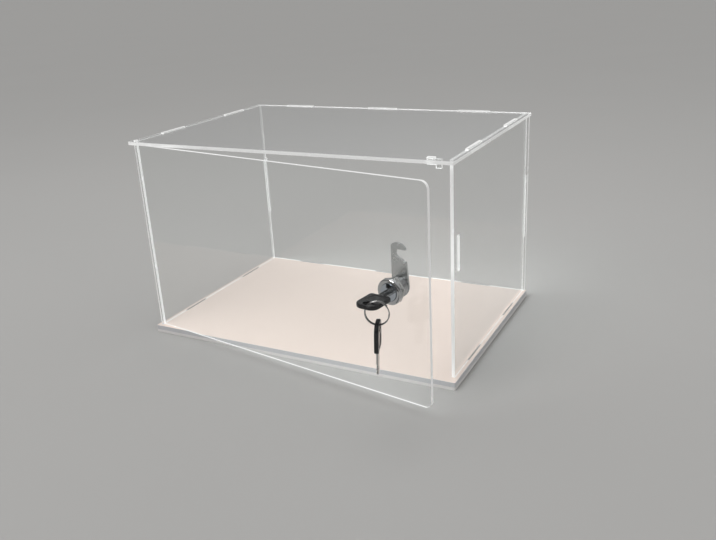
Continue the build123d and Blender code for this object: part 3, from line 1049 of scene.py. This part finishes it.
@dataclass
class CamLock:
    """The whole cam lock: housing, nut and washer on the door, and all that turns with the plug."""

    nodes: dict[str, bpy.types.Object]
    place: Matrix
    wafers: int = 4
    wafer_arris: float = 0.04 * MM
    spring_rows: Sequence[float] = (-2.2, 0.2, 2.6, 5.0)
    spring_left: float = -1.5
    spring_length: float = 3.2
    spring_height: float = 3.55
    spring_radius: float = 0.4
    spring_wire: float = 0.1
    spring_turns: float = 6.5
    spring_steps: int = 16
    spring_sides: int = 6

    def build(self) -> None:
        """Makes the lock's pieces."""
        chrome, zinc, plug = CHROME.material(), ZINC.material(), PLUG_CHROME.material()
        cam, screw, brass = CAM_STEEL.material(), SCREW_STEEL.material(), BRASS.material()
        Housing(self.place, chrome).build()
        ToothedWasher(self.place, zinc).build()
        trims = [
            Trim("lock_nut", "door", "lock_steel", zinc, 0.18 * MM),
            Trim("lock_plug", "plug", "plug_chrome", plug, 0.09 * MM),
            Trim("stop_washer", "plug", "lock_steel", zinc, 0.1 * MM),
            Trim("lock_cam", "plug", "cam_steel", cam, 0.22 * MM),
            Trim("cam_washer", "plug", "lock_steel", screw, 0.12 * MM),
            Trim("cam_screw", "plug", "screw_steel", screw, 0.12 * MM),
        ]
        for i in range(1, self.wafers + 1):
            trims.append(Trim(f"wafer_{i}", "plug", "wafer_brass", brass, self.wafer_arris))
        for trim in trims:
            trim.build(self.nodes)
        self.springs(SPRING_STEEL.material())

    def springs(self, material: bpy.types.Material) -> None:
        """Makes the wafers' small springs.

        Args:
            material: their finish.
        """
        shape = bmesh.new()
        for row in self.spring_rows:
            middle = (self.spring_left + self.spring_length / 2, row, self.spring_height)
            place = self.place @ Matrix.Translation(middle) @ Matrix.Rotation(QUARTER_TURN, 4, "Y")
            pitch = self.spring_length / self.spring_turns
            mesh = coil(
                "wafer spring",
                material,
                place,
                self.spring_radius,
                pitch,
                self.spring_turns,
                self.spring_wire,
                self.spring_steps,
                self.spring_sides,
            )
            shape.from_mesh(mesh)
            bpy.data.meshes.remove(mesh)
        mesh = bpy.data.meshes.new("wafer_coils")
        shape.to_mesh(mesh)
        shape.free()
        mesh.materials.append(material)
        mesh.shade_smooth()
        add_piece("wafer_coils", mesh, "plug", "spring_steel", "wafer_springs")


@dataclass
class Keys:
    """The key in the plug, the split ring through its head and the spare key on the ring."""

    nodes: dict[str, bpy.types.Object]
    low: Vector
    way: Vector
    ring_radius: float = 9.5
    ring_pitch: float = 1.45
    ring_turns: float = 1.9
    ring_wire: float = 0.5
    ring_steps: int = 96
    ring_sides: int = 16
    blade_arris: float = 0.08 * MM
    head_arris: float = 0.2 * MM

    def build(self) -> None:
        """Makes both keys and the ring."""
        steel, plastic = KEY_STEEL.material(), BlackPlastic().material()
        for prefix, body in (("", "key"), ("spare_", "spare_key")):
            Trim(prefix + "key_blade", body, "key_steel", steel, self.blade_arris).build(self.nodes)
            Trim(prefix + "key_head", body, "key_plastic", plastic, self.head_arris).build(self.nodes)
        centre = self.low + Vector((0, 0, self.ring_radius * MM))
        place = along(Vector(UP).cross(self.way), centre) @ Matrix.Rotation(-QUARTER_TURN, 4, "X")
        mesh = coil(
            "split ring",
            RING_STEEL.material(),
            place,
            self.ring_radius,
            self.ring_pitch,
            self.ring_turns,
            self.ring_wire,
            self.ring_steps,
            self.ring_sides,
        )
        add_piece("split_ring", mesh, "ring", "ring_steel", "key_ring")


# The studio


@dataclass(frozen=True)
class Lamp:
    """A square soft light that points at the case and shows in no reflection."""

    name: str
    place: tuple[float, float, float]
    size: float
    power: float
    aim: tuple[float, float, float] = (0.0, 0.0, 0.1)

    def build(self) -> None:
        """Adds the light."""
        data = bpy.data.lights.new(self.name, "AREA")
        data.size = self.size
        data.energy = self.power
        made = bpy.data.objects.new(self.name, data)
        made.location = self.place
        made.visible_glossy = False
        made.visible_transmission = False
        made.rotation_euler = (Vector(self.aim) - Vector(self.place)).to_track_quat("-Z", "Y").to_euler()
        bpy.context.scene.collection.objects.link(made)


@dataclass(frozen=True)
class BroadLight:
    """An even soft light from far away."""

    name: str
    comes_from: tuple[float, float, float]
    strength: float
    softness: float
    mirrored: bool

    def build(self) -> None:
        """Adds the light."""
        data = bpy.data.lights.new(self.name, "SUN")
        data.energy = self.strength
        data.angle = math.radians(self.softness)
        made = bpy.data.objects.new(self.name, data)
        made.visible_glossy = self.mirrored
        made.visible_transmission = False
        made.rotation_euler = (-Vector(self.comes_from)).to_track_quat("-Z", "Y").to_euler()
        bpy.context.scene.collection.objects.link(made)


OVERHEAD = Lamp("overhead", (-0.15, 0.2, 1.3), 0.7, 3.1)
FRONT_LEFT = Lamp("front left", (-1.2, -1.0, 0.9), 0.5, 1.7)
MAIN_LIGHT = BroadLight("main light", (-0.5, -1.05, 1.1), 1.38, 28.0, True)
RIGHT_SIDE = BroadLight("right side", (1.6, -0.35, 0.5), 0.55, 24.0, False)


@dataclass
class Studio:
    """Floor, lights, sky and the camera at the photo's angle."""

    focal_pixels: float = 765.564
    frame_pixels: float = 716.0
    azimuth: float = 28.266
    elevation: float = 20.863
    roll: float = -3.156
    place: tuple[float, float, float] = (0.369013, -0.654162, 0.33505)
    sensor: float = 36.0
    nearest: float = 0.01
    floor_size: float = 300.0
    floor_colour: COLOUR = (0.45, 0.445, 0.435)
    floor_shade: COLOUR = (0.444, 0.439, 0.429)
    floor_roughness: tuple[float, float] = (0.7, 0.72)
    floor_patches: float = 3.0
    dark_sky: COLOUR = (0.14, 0.135, 0.13)
    bright_sky: COLOUR = (1.15, 1.15, 1.15)
    bright_way: tuple[float, float, float] = (0.0, 0.45, 0.9)
    bright_reach: tuple[float, float] = (0.05, 0.7)
    haze: COLOUR = (0.78, 0.775, 0.76)
    haze_reach: tuple[float, float] = (0.1, 0.24)
    sky_strength: float = 0.44
    tones: str = "Standard"

    def camera(self) -> None:
        """Makes the camera, from the fit to the photo's straight edges."""
        turn, rise, roll = (math.radians(x) for x in (self.azimuth, self.elevation, self.roll))
        back = Vector((math.sin(turn) * math.cos(rise), -math.cos(turn) * math.cos(rise), math.sin(rise)))
        side = (-back).cross(Vector(UP)).normalized()
        up = side.cross(-back)
        right = side * math.cos(roll) + up * math.sin(roll)
        head = up * math.cos(roll) - side * math.sin(roll)
        data = bpy.data.cameras.new("camera")
        data.sensor_width = self.sensor
        data.lens = self.focal_pixels / self.frame_pixels * self.sensor
        data.clip_start = self.nearest
        made = bpy.data.objects.new("camera", data)
        turn_to = Matrix((right, head, back)).transposed().to_4x4()
        made.matrix_world = Matrix.Translation(Vector(self.place)) @ turn_to
        bpy.context.scene.collection.objects.link(made)
        bpy.context.scene.camera = made

    @staticmethod
    def toned(
        tree: bpy.types.NodeTree,
        way: tuple[float, float, float],
        reach: tuple[float, float],
        colours: Sequence[bpy.types.NodeSocket | COLOUR],
    ) -> bpy.types.NodeSocket:
        """Mixes two colours of the sky by how far a view points along a way.

        Args:
            tree: the sky's node tree.
            way: the direction.
            reach: how far the view points along it where each colour is whole.
            colours: the two colours, each plain or an output.

        Returns:
            The mixed colour.
        """
        view = tree.nodes.new("ShaderNodeTexCoord").outputs["Generated"]
        along_way = tree.nodes.new("ShaderNodeVectorMath")
        along_way.operation = "DOT_PRODUCT"
        along_way.inputs[1].default_value = way
        tree.links.new(view, along_way.inputs[0])
        ramp = tree.nodes.new("ShaderNodeMapRange")
        ramp.inputs["From Min"].default_value, ramp.inputs["From Max"].default_value = reach
        tree.links.new(along_way.outputs["Value"], ramp.inputs["Value"])
        mix = tree.nodes.new("ShaderNodeMix")
        mix.data_type = "RGBA"
        tree.links.new(ramp.outputs["Result"], mix.inputs[0])
        for socket, colour in zip(mix.inputs[MIX_COLOURS], colours):
            if isinstance(colour, bpy.types.NodeSocket):
                tree.links.new(colour, socket)
            else:
                socket.default_value = (*colour, 1)
        return mix.outputs[MIX_RESULT]

    def sky(self) -> None:
        """Makes the sky: plain near the horizon, bright above and behind the case, dark in front."""
        world = bpy.data.worlds.new("sky")
        bpy.context.scene.world = world
        world.use_nodes = True
        tree = world.node_tree
        background = tree.nodes["Background"]
        background.inputs["Strength"].default_value = self.sky_strength
        dome = self.toned(tree, self.bright_way, self.bright_reach, (self.dark_sky, self.bright_sky))
        whole = self.toned(tree, UP, self.haze_reach, (self.haze, dome))
        tree.links.new(whole, background.inputs["Color"])

    def floor(self) -> None:
        """Makes the plain pale floor."""
        shape = bmesh.new()
        bmesh.ops.create_grid(shape, x_segments=1, y_segments=1, size=self.floor_size)
        mesh = bpy.data.meshes.new("floor")
        shape.to_mesh(mesh)
        shape.free()
        made = Shader("floor").set(Specular_IOR_Level=0.0)
        made.vary(made.noise(self.floor_patches), (self.floor_colour, self.floor_shade), self.floor_roughness)
        mesh.materials.append(made.material)
        floor = bpy.data.objects.new("floor", mesh)
        bpy.context.scene.collection.objects.link(floor)

    def build(self) -> None:
        """Makes the whole studio."""
        bpy.context.scene.view_settings.view_transform = self.tones
        self.camera()
        for light in (MAIN_LIGHT, OVERHEAD, FRONT_LEFT, RIGHT_SIDE):
            light.build()
        self.sky()
        self.floor()


def along(axis: Vector, origin: Vector) -> Matrix:
    """A frame in millimetres whose Y runs along a level axis and whose Z points up.

    Args:
        axis: the level axis.
        origin: the frame's origin, in metres.

    Returns:
        The frame as a matrix.
    """
    ahead = axis.normalized()
    up = Vector(UP)
    turn = Matrix((ahead.cross(up), ahead, up)).transposed().to_4x4()
    return Matrix.Translation(origin) @ turn @ Matrix.Scale(MM, 4)


def main() -> None:
    """Builds the case, the door, the lock, the keys and the studio."""
    logging.basicConfig(level=logging.INFO, format="%(message)s")
    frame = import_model()
    nodes = frame["nodes"]
    joints = {row["name"]: row for row in frame["joints"]}
    lock_axis = Vector(joints["lock_turn"]["axis"])
    Studio().build()
    face, edge = ClearAcrylic().material(), CutEdge().material()
    white = WhiteAcrylic().material()
    WhiteBase(nodes, white, BOTTOM_EDGE.material(), DECK_EDGE.material()).build()
    ClearCase(nodes, face, edge).build()
    ClearDoor(nodes, lock_axis, face, edge).build()
    CamLock(nodes, along(lock_axis, Vector(joints["lock_turn"]["pos_m"]))).build()
    Keys(nodes, Vector(joints["spare_swing"]["pos_m"]), Vector(joints["ring_swing"]["axis"])).build()


if __name__ == "__main__":
    main()
